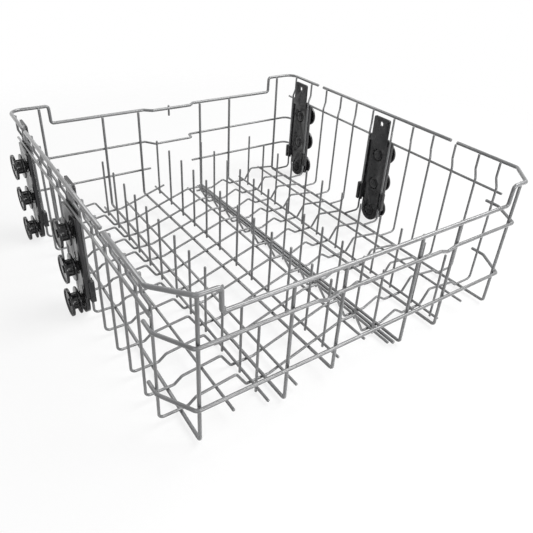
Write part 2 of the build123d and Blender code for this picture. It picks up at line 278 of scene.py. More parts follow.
@dataclass(frozen=True)
class TurnedPlastic(Finish):
    """Black plastic of the rollers, with faint rings that follow the radius stored on the mesh."""

    name: str = "roller_black_plastic"
    dark: Colour = (0.011, 0.011, 0.012)
    light: Colour = (0.021, 0.021, 0.023)
    roughness: Pair = (0.10, 0.17)
    drift: Pair = (90.0, 3.0)
    relief: Pair = (1500.0, 1.0)
    relief_depth: float = 0.00003
    relief_strength: float = 0.5

    def material(self) -> Material:
        """Build the node material.

        Returns:
            The rollers' material.
        """
        look = self.look()
        turned = add_node(look.tree, "ShaderNodeAttribute", output="Fac", attribute_name="turned")
        values = dict(zip(("Scale", "Detail"), self.relief))
        rings = add_node(look.tree, "ShaderNodeTexNoise", values, {"W": turned}, "Fac", noise_dimensions="1D")
        look.bump(rings, self.relief_depth, self.relief_strength)
        return look.material


@dataclass(frozen=True)
class Finishes:
    """The three finishes of the object."""

    wire: Material = field(default_factory=lambda: Coat().material())
    carrier: Material = field(default_factory=lambda: MouldedPlastic().material())
    roller: Material = field(default_factory=lambda: TurnedPlastic().material())


def link_object(name: str, mesh: Mesh) -> Object:
    """Put a mesh into the scene as an object at the origin.

    Args:
        name: The object's name.
        mesh: Its mesh.

    Returns:
        The new object.
    """
    obj = bpy.data.objects.new(name, mesh)
    bpy.context.scene.collection.objects.link(obj)
    return obj


def evaluated_piece(temp: Object, name: str) -> Object:
    """Turn an object with modifiers into a plain mesh object and remove the first.

    Args:
        temp: Object that carries the modifiers.
        name: Name of the finished piece.

    Returns:
        The finished piece.
    """
    graph = bpy.context.evaluated_depsgraph_get()
    mesh = bpy.data.meshes.new_from_object(temp.evaluated_get(graph), depsgraph=graph)
    mesh.name = name
    bpy.data.objects.remove(temp)
    return link_object(name, mesh)


def sharpen(mesh: Mesh) -> None:
    """Shade a mesh smooth, with its sharp edges kept."""
    mesh.shade_smooth()
    mesh.set_sharp_from_angle(angle=SHARP_ANGLE)


class PieceTree:
    """Geometry Nodes tree with named inputs that ends in whole geometry with one material."""

    def __init__(self, name: str, source: str, kinds: dict[str, str], result: str) -> None:
        """Make the tree and its sockets.

        Args:
            name: The tree's name.
            source: Name of the geometry that comes in.
            kinds: Kind of each further input by its name.
            result: Name of the geometry that goes out.
        """
        self.tree = bpy.data.node_groups.new(name, "GeometryNodeTree")
        self.tree.is_modifier = True
        face = self.tree.interface
        face.new_socket(source, in_out="INPUT", socket_type="NodeSocketGeometry")
        self.keys: dict[str, str] = {}
        for label, kind in {**kinds, "Finish": "Material"}.items():
            socket = face.new_socket(label, in_out="INPUT", socket_type=f"NodeSocket{kind}")
            self.keys[label] = socket.identifier
        face.new_socket(result, in_out="OUTPUT", socket_type="NodeSocketGeometry")
        self.given = self.tree.nodes.new("NodeGroupInput").outputs

    def close(self, geometry: NodeSocket) -> None:
        """Realize the geometry, give it the finish and send it out.

        Args:
            geometry: Output that gives the geometry.
        """
        whole = add_node(self.tree, "GeometryNodeRealizeInstances", links={"Geometry": geometry})
        links = {"Geometry": whole, "Material": self.given["Finish"]}
        dressed = add_node(self.tree, "GeometryNodeSetMaterial", links=links)
        self.tree.links.new(dressed, self.tree.nodes.new("NodeGroupOutput").inputs[0])

    def apply(self, temp: Object, values: dict[str, object]) -> None:
        """Give an object the tree as a modifier.

        Args:
            temp: The object.
            values: Value of each input by its name.
        """
        mod = temp.modifiers.new(self.tree.name, "NODES")
        mod.node_group = self.tree
        for label, value in values.items():
            mod[self.keys[label]] = value


class WireSweep(PieceTree):
    """Tree that sweeps round wire along chains of edges.

    Each vertex of the path carries the radius of its bend and the thickness of the wire there.
    """

    sides = 16
    arc_steps = 8

    def __init__(self) -> None:
        """Build the tree."""
        super().__init__("coated_wire_sweep", "Path", {"Sides": "Int", "Arc Steps": "Int"}, "Wire")
        bend, thickness = self._attribute("bend"), self._attribute("thickness")
        curve = add_node(self.tree, "GeometryNodeMeshToCurve", links={"Mesh": self.given["Path"]})
        links = {"Curve": curve, "Count": self.given["Arc Steps"], "Radius": bend}
        curve = add_node(self.tree, "GeometryNodeFilletCurve", links=links, mode="POLY")
        links = {"Curve": curve, "Radius": thickness}
        curve = add_node(self.tree, "GeometryNodeSetCurveRadius", links=links)
        sides = {"Resolution": self.given["Sides"]}
        circle = add_node(self.tree, "GeometryNodeCurvePrimitiveCircle", {"Radius": 1.0}, sides)
        links = {"Curve": curve, "Profile Curve": circle, "Scale": thickness}
        wire = add_node(self.tree, "GeometryNodeCurveToMesh", {"Fill Caps": True}, links)
        self.close(add_node(self.tree, "GeometryNodeSetShadeSmooth", links={"Geometry": wire}))

    def _attribute(self, name: str) -> NodeSocket:
        """Output of a named float attribute of the path."""
        kind, values = "GeometryNodeInputNamedAttribute", {"Name": name}
        return add_node(self.tree, kind, values, output="Attribute", data_type="FLOAT")

    def piece(self, name: str, runs: list[Run], finish: Material) -> Object:
        """Sweep a set of wires into one piece.

        Args:
            name: Name of the piece.
            runs: The wires' paths.
            finish: The wires' material.

        Returns:
            The piece as a plain mesh object.
        """
        temp = link_object(name + "_path", self._path(name, runs))
        self.apply(temp, {"Sides": self.sides, "Arc Steps": self.arc_steps, "Finish": finish})
        piece = evaluated_piece(temp, name)
        outward(piece.data)
        return piece

    def _path(self, name: str, runs: list[Run]) -> Mesh:
        """Make the edge chains with their two attributes."""
        places, edges, bends, thick = [], [], [], []
        for run in runs:
            start = len(places)
            for place, bend, radius in domed_rows(run):
                places.append(place * MM)
                bends.append(bend * MM)
                thick.append(radius * MM)
            edges += [(i, i + 1) for i in range(start, len(places) - 1)]
        mesh = bpy.data.meshes.new(name + "_path")
        mesh.from_pydata(places, edges, [])
        for label, values in (("bend", bends), ("thickness", thick)):
            mesh.attributes.new(label, "FLOAT", "POINT").data.foreach_set("value", values)
        return mesh


def domed_rows(
    run: Run, steps: int = 5, depth: float = 0.7, first: float = 10.0
) -> list[tuple[Vector, float, float]]:
    """Points of a path with both ends rounded as the coat rounds them.

    Args:
        run: The wire.
        steps: Points in each rounded end.
        depth: Length of the rounded end as a share of the wire's radius.
        first: Angle in degrees at which the rounding starts, which leaves a small flat at the tip.

    Returns:
        Place, bend radius and wire radius of each point, in mm.
    """
    corners = [Vector(p) for p in run.points]
    inner = list(zip(corners[1:-1], run.bends, [run.radius] * len(run.bends)))

    def end(tip: Vector, towards: Vector) -> list[tuple[Vector, float, float]]:
        """Points of one rounded end, from its tip inwards."""
        way = (towards - tip).normalized()
        rows = []
        for i in range(steps + 1):
            turn = math.radians(first + (90.0 - first) * i / steps)
            sink = run.radius * depth * (1.0 - math.cos(turn - math.radians(first)))
            rows.append((tip + way * sink, 0.0, run.radius * math.sin(turn)))
        return rows

    return end(corners[0], corners[1]) + inner + end(corners[-1], corners[-2])[::-1]


def outward(mesh: Mesh) -> None:
    """Turn a closed mesh's faces outwards if they point in.

    Args:
        mesh: The mesh, which is changed in place.
    """
    bm = bmesh.new()
    bm.from_mesh(mesh)
    if bm.calc_volume(signed=True) < 0.0:
        bmesh.ops.reverse_faces(bm, faces=bm.faces)
        bm.to_mesh(mesh)
    bm.free()


class CoatPools(PieceTree):
    """Tree that sets a small drop of coat at each weld."""

    segments = 8
    rings = 6
    smallest = 0.85
    largest = 1.15
    seed = 7

    def __init__(self) -> None:
        """Build the tree."""
        super().__init__("coat_pools", "Welds", {"Drop Radius": "Float"}, "Drops")
        shape = {"Segments": self.segments, "Rings": self.rings}
        drop = add_node(self.tree, "GeometryNodeMeshUVSphere", shape, {"Radius": self.given["Drop Radius"]})
        drop = add_node(self.tree, "GeometryNodeSetShadeSmooth", links={"Geometry": drop})
        # The third and fourth inputs and the second output are those for a float
        limits = {2: self.smallest, 3: self.largest, "Seed": self.seed}
        vary = add_node(self.tree, "FunctionNodeRandomValue", limits, output=1, data_type="FLOAT")
        links = {"Points": self.given["Welds"], "Instance": drop, "Scale": vary}
        self.close(add_node(self.tree, "GeometryNodeInstanceOnPoints", links=links))

    def piece(self, name: str, welds: list[Point], radius: float, finish: Material) -> Object:
        """Set a drop at each weld.

        Args:
            name: Name of the piece.
            welds: Places of the welds in mm.
            radius: Radius of a drop in mm.
            finish: The coat's material.

        Returns:
            The piece as a plain mesh object.
        """
        mesh = bpy.data.meshes.new(name + "_points")
        mesh.from_pydata([Vector(w) * MM for w in welds], [], [])
        temp = link_object(name + "_points", mesh)
        self.apply(temp, {"Drop Radius": radius * MM, "Finish": finish})
        return evaluated_piece(temp, name)


@dataclass(frozen=True)
class WireGauge:
    """Radii of the coated wires and the gap that stands for a weld."""

    rim: float = 2.4
    rail: float = 2.1
    loop: float = 2.0
    centre: float = 2.2
    rod: float = 1.7
    tine: float = 1.55
    cross: float = 1.6
    side: float = 1.75
    back: float = 1.8
    stub: float = 1.6
    weld: float = 0.02


@dataclass(frozen=True)
class BasketPlan:
    """Main sizes that the sub-assemblies share: the rim's box, the walls, rails and floor outline."""

    gauge: WireGauge = WireGauge()
    rim_x: float = 248.5
    rim_y: float = 255.0
    rim_z: float = 184.3
    dip: float = 26.0
    wall_x: float = 240.0
    first_cross_y: float = -209.0
    cross_gaps: tuple[float, ...] = (33.0, 39.5, 39.5, 39.5, 39.5, 46.5, 39.5, 39.5, 39.5, 43.0, 46.5)
    jog_back: float = 0.016
    jog_top_z: float = 162.5
    jog_low_z: float = 152.0
    side_wire_z: float = 145.5
    mid_rail_z: float = 127.8
    low_rail_z: float = 52.0
    back_mid_z: float = 104.7
    back_low_z: float = 55.3
    shelf_in_x: float = 208.0
    step: Pair = (198.5, 16.5)
    hump: Pair = (151.0, 22.5)
    trough_x: float = 138.0
    ramp_x: float = -108.0
    crest_x: Pair = (-8.0, 16.0)
    crest_z: float = 34.3
    middle_x: Pair = (33.0, 66.0)
    peak: Pair = (89.0, 12.3)
    peak_end_x: float = 104.0

    @property
    def cross_y(self) -> list[float]:
        """Depth of each cross wire, front to back."""
        return [self.first_cross_y + sum(self.cross_gaps[:i]) for i in range(len(self.cross_gaps) + 1)]

    @property
    def trough_z(self) -> float:
        """Height of the troughs' centre line, which stand on the floor."""
        return self.gauge.cross

    @property
    def loop_z(self) -> float:
        """Height of the loops, which lie on the troughs."""
        return self.trough_z + self.gauge.cross + self.gauge.loop + self.gauge.weld

    @property
    def shelf_z(self) -> float:
        """Height of the cross wires at the side walls, over the outer loops."""
        return self.loop_z + self.gauge.loop + self.gauge.cross + self.gauge.weld

    @property
    def loop_y(self) -> float:
        """Depth of the loops' uprights inside the rim."""
        return self.rim_y - self.gauge.rim - self.gauge.loop - self.gauge.weld

    @property
    def wall_top_x(self) -> float:
        """Place of the cross wires' upper ends inside the rim."""
        return self.rim_x - self.gauge.rim - self.gauge.cross - self.gauge.weld

    def outside_wall(self, radius: float) -> float:
        """Place of a wire of this radius on the outside of the side wall."""
        return self.wall_x + self.gauge.cross + radius + self.gauge.weld

    def outside_loops(self, radius: float) -> float:
        """Depth of a wire of this radius on the outside of the loops."""
        return self.loop_y + self.gauge.loop + radius + self.gauge.weld

    @property
    def floor_parts(self) -> tuple[list[Pair], list[Pair], list[Pair]]:
        """Outline of a cross wire's floor as X and Z: up to the ramp, over the crest, from the middle on."""
        low, shelf = self.trough_z, self.shelf_z
        right = [(self.trough_x, low), self.hump, self.step, (self.shelf_in_x, shelf), (self.wall_x, shelf)]
        left = [(-x, z) for x, z in reversed(right)] + [(self.ramp_x, low)]
        crest = [(x, self.crest_z) for x in self.crest_x] + [(self.middle_x[0], low)]
        return left, crest, [(self.middle_x[1], low), self.peak, (self.peak_end_x, low)] + right

    @property
    def floor(self) -> list[Pair]:
        """The whole outline of a cross wire's floor, left to right."""
        left, crest, right = self.floor_parts
        return left + crest + right

    def touch(self, x: float, radius: float, above: bool) -> float:
        """Height at which a rod touches the cross wires.

        Args:
            x: Place of the rod.
            radius: Its radius.
            above: Whether it lies on the wires or under them.

        Returns:
            Height of the rod's centre line.
        """
        corners = self.floor
        (x0, z0), (x1, z1) = next(p for p in zip(corners, corners[1:]) if p[0][0] <= x <= p[1][0])
        slope = math.atan2(z1 - z0, x1 - x0)
        rise = (self.gauge.cross + radius + self.gauge.weld) / math.cos(slope)
        line = z0 + (z1 - z0) * (x - x0) / (x1 - x0)
        return line + rise if above else line - rise


def mirrored(points: list[Point]) -> list[Point]:
    """The same points on the other side, in reverse order."""
    return [(-x, y, z) for x, y, z in reversed(points)]


def numbered(word: str, things: Sequence[object], digits: int = 1) -> list[str]:
    """Names of CAD nodes that are numbered from 1, one for each thing."""
    return [f"{word}_{i:0{digits}d}" for i in range(1, len(things) + 1)]


@dataclass
class Rim:
    """Rim wires, the second wires of the sides, the front rails and the back wires."""

    plan: BasketPlan
    bend: float = 6.0
    dip_bend: float = 4.2
    corner: float = 16.0
    wire_corner: float = 14.0
    jog_bend: float = 5.0
    bump_bend: float = 8.0
    chamfer: Pair = (29.0, 31.8)
    front_dip: float = 195.9
    back_dip: float = 194.4
    dip_lean: float = 0.6
    front_lap: float = 8.0
    front_break: float = 9.0
    front_break_wire: int = 2
    back_lap: float = 13.5
    back_break: float = 13.0
    back_break_wire: int = 10
    rim_jog: float = 9.0
    rim_jog_x: tuple[float, ...] = (40.0, 30.0, -37.0, -49.0)
    wire_jog: float = 16.5
    wire_jog_x: tuple[float, ...] = (30.0, 28.0, -39.0, -51.0)
    side_wire_y: Pair = (-217.0, 254.0)
    rail_end_y: float = -197.0
    rail_bend_y: float = -216.7
    rail_bend_x: float = 221.0
    bump_x: Pair = (100.0, -77.0)
    bump_reach: float = 13.0
    bump_drop: float = 4.0
    back_wire_past: float = 2.6
    low_ends: Pair = (-43.0, 35.0)
    stub_x: float = -7.0
    stub_reach: Pair = (4.0, 14.0)

    @property
    def front_end(self) -> float:
        """Depth at which the front rim wire ends on the side walls."""
        return self.plan.cross_y[self.front_break_wire] + self.front_lap

    @property
    def back_end(self) -> float:
        """Depth at which the back rim wire ends on the side walls."""
        return self.plan.cross_y[self.back_break_wire] - self.back_lap

    def front_rim(self) -> Run:
        """Front rim wire with chamfered corners and a dipped middle."""
        p = self.plan
        half = [
            (p.rim_x, self.front_end, p.rim_z),
            (p.rim_x, self.chamfer[1] - p.rim_y, p.rim_z),
            (p.rim_x - self.chamfer[0], -p.rim_y, p.rim_z),
            (self.front_dip + self.dip_lean, -p.rim_y, p.rim_z),
            (self.front_dip, -p.rim_y, p.rim_z - p.dip),
        ]
        bends = [self.bend] * 2 + [self.dip_bend] * 2
        return Run(half + mirrored(half), bends + bends[::-1], p.gauge.rim)

    def back_rim(self) -> Run:
        """Back rim wire with rounded corners, a dip and a jog at the centre."""
        p = self.plan
        half = [
            (p.rim_x, self.back_end, p.rim_z),
            (p.rim_x, p.rim_y, p.rim_z),
            (self.back_dip + self.dip_lean, p.rim_y, p.rim_z),
            (self.back_dip, p.rim_y, p.rim_z - p.dip),
        ]
        jog = self.jog(self.rim_jog_x, p.rim_y, self.rim_jog, p.rim_z - p.dip)
        bends = [self.corner] + [self.dip_bend] * 2
        return Run(half + jog + mirrored(half), bends + [self.jog_bend] * len(jog) + bends[::-1], p.gauge.rim)

    def jog(self, places: tuple[float, ...], y: float, depth: float, z: float) -> list[Point]:
        """The four corners, right to left, of a jog that leads a back wire in at the centre."""
        return [(x, depth_y, z) for x, depth_y in zip(places, (y, y - depth, y - depth, y))]

    def side_wires(self, side: Side) -> list[Run]:
        """Straight rim wire and second wire of one side.

        Args:
            side: Which wall.

        Returns:
            The rim wire and the wire under it.
        """
        p = self.plan
        x = side.value * p.rim_x
        ends = (self.front_end + self.front_break, self.back_end - self.back_break)
        rim = [(x, y, p.rim_z) for y in ends]
        x = side.value * p.outside_wall(p.gauge.side)
        second = [(x, y, p.side_wire_z) for y in self.side_wire_y]
        return [Run(rim, [], p.gauge.rim), Run(second, [], p.gauge.side)]

    def front_rail(self, z: float, bumps: bool) -> Run:
        """A front rail.

        Args:
            z: Its height.
            bumps: Whether it has the two small downward bends.

        Returns:
            The rail's path.
        """
        p = self.plan
        x, y = p.outside_wall(p.gauge.rail), -p.outside_loops(p.gauge.rail)
        end = [(x, self.rail_end_y, z), (x, self.rail_bend_y, z), (self.rail_bend_x, y, z)]
        middle: list[Point] = []
        for place in self.bump_x if bumps else ():
            middle.append((place + self.bump_reach, y, z))
            middle.append((place, y, z - self.bump_drop))
            middle.append((place - self.bump_reach, y, z))
        bends = [self.bend] * 2 + [self.bump_bend] * len(middle) + [self.bend] * 2
        return Run(end + middle + mirrored(end), bends, p.gauge.rail)

    def back_wires(self) -> list[Run]:
        """Middle wire of the back, the two low ones and the stub on the rim."""
        p = self.plan
        x, y = p.outside_wall(p.gauge.back), p.outside_loops(p.gauge.back)
        end, mid, low_z = p.cross_y[-1] + self.back_wire_past, p.back_mid_z, p.back_low_z
        half = [(x, end, mid), (x, y, mid)]
        jog = self.jog(self.wire_jog_x, y, self.wire_jog, mid)
        bends = [self.wire_corner] + [self.jog_bend] * len(jog) + [self.wire_corner]
        runs = [Run(half + jog + mirrored(half), bends, p.gauge.back)]
        for sign, stop in zip((-1, 1), self.low_ends):
            low = [(sign * x, end, low_z), (sign * x, y, low_z), (stop, y, low_z)]
            runs.append(Run(low, [self.wire_corner], p.gauge.back))
        stub_y = p.rim_y - self.rim_jog + p.gauge.rim + p.gauge.stub + p.gauge.weld
        top, (above, below) = p.rim_z - p.dip, self.stub_reach
        stub = [(self.stub_x, stub_y, top + above), (self.stub_x, stub_y, top - below)]
        runs.append(Run(stub, [], p.gauge.stub))
        return runs


@dataclass
class CrossWires:
    """The twelve cross wires that make both side walls and the shaped floor."""

    plan: BasketPlan
    wall_bend: float = 6.0
    floor_bend: float = 4.5
    top_drop: float = 0.8
    split_left: float = -28.0
    split_right: float = 34.0

    def top_y(self, y: float) -> float:
        """Depth of a wire's upper ends, which lead a little to the back."""
        return y + self.plan.jog_back * (self.plan.cross_y[-1] - y)

    def runs(self) -> list[Run]:
        """Paths of the wires, the backmost one in two halves."""
        p = self.plan
        found = []
        for y in p.cross_y:
            wall = [
                (p.wall_x, y, p.jog_low_z),
                (p.wall_top_x, self.top_y(y), p.jog_top_z),
                (p.wall_top_x, self.top_y(y), p.rim_z - self.top_drop),
            ]
            side = [self.wall_bend] * len(wall)
            left, crest, right = ([(x, y, z) for x, z in part] for part in p.floor_parts)
            if y < p.cross_y[-1]:
                floor = left + crest + right
                bends = side + [self.floor_bend] * (len(floor) - 2) + side
                found.append(Run(mirrored(wall) + floor + wall, bends, p.gauge.cross))
                continue
            bends = [self.floor_bend] * (len(left) - 1)
            ramp_z = p.touch(self.split_left, -p.gauge.cross - p.gauge.weld, True)
            points = mirrored(wall) + left + [(self.split_left, y, ramp_z)]
            found.append(Run(points, side + bends, p.gauge.cross))
            bends = [self.floor_bend] * (len(right) - 1)
            points = [(self.split_right, y, p.trough_z)] + right + wall
            found.append(Run(points, bends + side, p.gauge.cross))
        return found


@dataclass
class Loops:
    """Six loops that run down the front wall, along the floor and up the back wall."""

    plan: BasketPlan
    front_x: tuple[float, ...] = (-216.5, -116.5, -52.5, 56.0, 118.0, 217.0)
    back_x: tuple[float, ...] = (-209.5, -118.5, -60.0, 51.0, 109.5, 210.5)
    outer: tuple[int, int] = (1, 6)
    under_ramp: int = 3
    bend: float = 4.0
    top_drop: float = 0.8

    def top(self, number: int, drop: float) -> float:
        """Height this far under the rim at a loop: the outer two reach the rim beside its dip."""
        return self.plan.rim_z - drop - (0.0 if number in self.outer else self.plan.dip)

    def low(self, number: int, x: float) -> float:
        """Height of a loop's floor run at a place: the third runs under the ramp."""
        p = self.plan
        return p.touch(x, p.gauge.loop, False) if number == self.under_ramp else p.loop_z

    def runs(self) -> list[Run]:
        """Paths of the loops."""
        p = self.plan
        found = []
        for number, (front, back) in enumerate(zip(self.front_x, self.back_x), start=1):
            top = self.top(number, self.top_drop)
            points = [
                (front, -p.loop_y, top),
                (front, -p.loop_y, self.low(number, front)),
                (back, p.loop_y, self.low(number, back)),
                (back, p.loop_y, top),
            ]
            found.append(Run(points, [self.bend] * 2, p.gauge.loop))
        return found

    def x_at(self, number: int, y: float) -> float:
        """Place of a loop's floor run at a depth."""
        share = (y + self.plan.loop_y) / (2.0 * self.plan.loop_y)
        front, back = self.front_x[number - 1], self.back_x[number - 1]
        return front + (back - front) * share


@dataclass
class FloorRods:
    """Floor rods along the depth: five plain ones and four that carry twelve tines each."""

    plan: BasketPlan
    front_y: float = -245.0
    row_x: tuple[float, ...] = (-132.5, -38.5, 42.5, 132.0)
    row_shift: tuple[float, ...] = (-16.0, -11.0, -11.0, -25.5)
    ramp_row: int = 2
    ramp_row_back_y: float = 252.0
    tine_length: float = 94.0
    tine_below: float = 2.0
    support_x: float = 175.0
    ramp_rod_x: float = -96.0
    crest_rod_x: float = -1.0
    centre_rod_x: Pair = (48.3, 46.6)
    centre_rod_front_y: float = -249.0
    past_last: float = 12.0
    crest_past: float = 11.0

    @property
    def back_y(self) -> float:
        """Back end of most rods."""
        return self.plan.cross_y[-1] + self.past_last

    def plain(self) -> list[Run]:
        """Paths of the rods without tines."""
        p, g = self.plan, self.plan.gauge
        crest_back = p.cross_y[-2] + self.crest_past
        rows = [
            (-self.support_x, -self.support_x, g.rod, False, self.front_y, self.back_y),
            (self.ramp_rod_x, self.ramp_rod_x, g.rod, True, self.front_y, self.back_y),
            (self.crest_rod_x, self.crest_rod_x, g.rod, False, self.front_y, crest_back),
            (*self.centre_rod_x, g.centre, True, self.centre_rod_front_y, self.back_y),
            (self.support_x, self.support_x, g.rod, False, self.front_y, self.back_y),
        ]
        found = []
        for front, back, radius, above, y0, y1 in rows:
            z = p.touch(front, radius, above)
            found.append(Run([(front, y0, z), (back, y1, z)], [], radius))
        return found

    def row_z(self, number: int) -> float:
        """Height of a tine row's rod: the second row lies under the ramp."""
        return self.plan.touch(self.row_x[number - 1], self.plan.gauge.rod, number != self.ramp_row)

    def tine_x(self, number: int) -> float:
        """Place of a row's tines beside their rod."""
        g = self.plan.gauge
        return self.row_x[number - 1] - g.rod - g.tine - g.weld

    def row(self, number: int) -> list[Run]:
        """Paths of one rod and its tines.

        Args:
            number: The row, from 1 at the left.

        Returns:
            The rod and the twelve tines.
        """
        g, z = self.plan.gauge, self.row_z(number)
        x = self.row_x[number - 1]
        back = self.ramp_row_back_y if number == self.ramp_row else self.back_y
        found = [Run([(x, self.front_y, z), (x, back, z)], [], g.rod)]
        for y in self.plan.cross_y:
            tine_y = y + self.row_shift[number - 1]
            heights = (z - self.tine_below, z + self.tine_length)
            found.append(Run([(self.tine_x(number), tine_y, end) for end in heights], [], g.tine))
        return found


@dataclass
class WireBasket:
    """All wires of the basket and the coat at their welds."""

    plan: BasketPlan
    finish: Material
    drop: float = 1.25

    def build(self) -> list[Object]:
        """Sweep every wire, set the welds' coat and stand the pieces in for the CAD wires.

        Returns:
            The pieces.
        """
        sweep = WireSweep()
        rim, cross = Rim(self.plan), CrossWires(self.plan)
        loops, rods = Loops(self.plan), FloorRods(self.plan)
        sets: list[tuple[str, list[Run], list[str]]] = [
            ("rim_wire_front", [rim.front_rim()], ["front_rim"]),
            ("rim_wire_back", [rim.back_rim()], ["back_rim"]),
            ("front_rail_middle", [rim.front_rail(self.plan.mid_rail_z, True)], ["front_mid_rail"]),
            ("front_rail_low", [rim.front_rail(self.plan.low_rail_z, False)], ["front_low_rail"]),
            ("back_wall_wires", rim.back_wires(), ["back_mid_wire", "back_low_wires", "back_stub"]),
            ("wall_and_floor_wires", cross.runs(), numbered("cross_wire", self.plan.cross_y, 2)),
            ("front_to_back_loops", loops.runs(), numbered("loop", loops.front_x)),
            ("plain_floor_rods", rods.plain(), numbered("floor_rod", rods.plain())),
        ]
        for side in Side:
            nodes = [f"side_rim_{side.word}", f"side_wire_{side.word}"]
            sets.append((f"side_wires_{side.word}", rim.side_wires(side), nodes))
        for number, node in enumerate(numbered("tine_row", rods.row_x), start=1):
            sets.append((f"tines_{number}", rods.row(number), [node]))
        pieces = []
        for name, runs, nodes in sets:
            piece = sweep.piece(name, runs, self.finish)
            settle(piece, BASKET, nodes)
            pieces.append(piece)
        drops = CoatPools().piece("weld_coat", self.welds(cross, loops, rods), self.drop, self.finish)
        settle(drops, BASKET, [])
        return pieces + [drops]

    def welds(self, cross: CrossWires, loops: Loops, rods: FloorRods) -> list[Point]:
        """Places where wires touch.

        Args:
            cross: The cross wires.
            loops: The loops.
            rods: The floor rods and tine rows.

        Returns:
            The welds in mm.
        """
        p, g = self.plan, self.plan.gauge
        found: list[Point] = []
        for y in p.cross_y:
            split = y == p.cross_y[-1]
            for number in range(1, len(loops.front_x) + 1):
                x = loops.x_at(number, y)
                up = 1 if number in (*loops.outer, loops.under_ramp) else -1
                found.append((x, y, loops.low(number, x) + up * g.loop))
            supports = [(x, -1) for x in (-rods.support_x, rods.crest_rod_x, rods.support_x)]
            for x, above in [(rods.ramp_rod_x, 1)] + supports:
                if not (split and x == rods.crest_rod_x):
                    found.append((x, y, p.touch(x, g.rod, above > 0) - above * g.rod))
            for number, (x, shift) in enumerate(zip(rods.row_x, rods.row_shift), start=1):
                under = number == rods.ramp_row
                z = rods.row_z(number)
                if not (split and under):
                    found.append((x, y, z + g.rod if under else z - g.rod))
                found.append((rods.tine_x(number) + g.tine, y + shift, z))
            for side in Side:
                found.append((side.value * (p.wall_x + g.cross), y, p.side_wire_z))
                found.append((side.value * (p.wall_top_x + g.cross), cross.top_y(y), p.rim_z - self.drop))
        for number, (front, back) in enumerate(zip(loops.front_x, loops.back_x), start=1):
            top = loops.top(number, self.drop)
            found += [(front, -p.loop_y - g.loop, z) for z in (top, p.mid_rail_z, p.low_rail_z)]
            found += [(back, p.loop_y + g.loop, z) for z in (top, p.back_mid_z, p.back_low_z)]
        return found


def settle(piece: Object, body: str, nodes: list[str]) -> None:
    """Fix a finished piece to its body and CAD nodes.

    Args:
        piece: The piece.
        body: CAD body that it moves with.
        nodes: CAD nodes that it stands for.
    """
    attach(piece, body)
    if nodes:
        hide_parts(*nodes)
    log.info("%s: %d faces on %s", piece.name, len(piece.data.polygons), body)


def turned_mesh(name: str, profile: list[Pair], starts: list[Vector], out: int, steps: int) -> Mesh:
    """Turn a closed profile about one or more axles along X.

    Args:
        name: Name of the mesh.
        profile: Closed outline as distance along the axle and radius, in mm.
        starts: Point of each axle where the distance is 0, in mm.
        out: Sign of X that leads out along the axles.
        steps: Steps of a full turn.

    Returns:
        The mesh, with the radius of each vertex kept as the attribute "turned".
    """
    bm = bmesh.new()
    radius_layer = bm.verts.layers.float.new("turned")

    def ring(start: Vector, along: float, radius: float) -> list[bmesh.types.BMVert]:
        """Vertices at one point of the profile, a single one on the axle itself."""
        found = []
        for i in range(1 if radius == 0.0 else steps):
            angle = 2.0 * math.pi * i / steps
            place = start + Vector((out * along, radius * math.cos(angle), radius * math.sin(angle)))
            found.append(bm.verts.new(place * MM))
            found[-1][radius_layer] = radius * MM
        return found

    for start in starts:
        rings = [ring(start, along, radius) for along, radius in profile]
        for first, second in zip(rings, rings[1:] + rings[:1]):
            if len(first) == 1 and len(second) == 1:
                continue
            for i in range(steps):
                j = (i + 1) % steps
                near = [first[k % len(first)] for k in (i, j)]
                far = [second[k % len(second)] for k in (j, i)]
                bm.faces.new(list(dict.fromkeys(near + far)))
    bmesh.ops.recalc_face_normals(bm, faces=bm.faces)
    mesh = bpy.data.meshes.new(name)
    bm.to_mesh(mesh)
    bm.free()
    outward(mesh)
    return mesh


def eased(corners: list[tuple[float, float, float]], steps: int = 3) -> list[Pair]:
    """Round the corners of a closed profile.

    Args:
        corners: Distance and radius of each corner, and the size of its rounding, 0 for none.
        steps: Steps along each rounding.

    Returns:
        The rounded outline.
    """
    spots = [Vector(corner[:2]) for corner in corners]
    found = []
    for i, (along, radius, size) in enumerate(corners):
        if size == 0.0:
            found.append((along, radius))
            continue
        here = spots[i]
        before = (spots[i - 1] - here).normalized() * size
        after = (spots[(i + 1) % len(spots)] - here).normalized() * size
        for k in range(steps + 1):
            t = k / steps
            spot = here + before * (1.0 - t) ** 2 + after * t**2
            found.append((spot.x, spot.y))
    return found


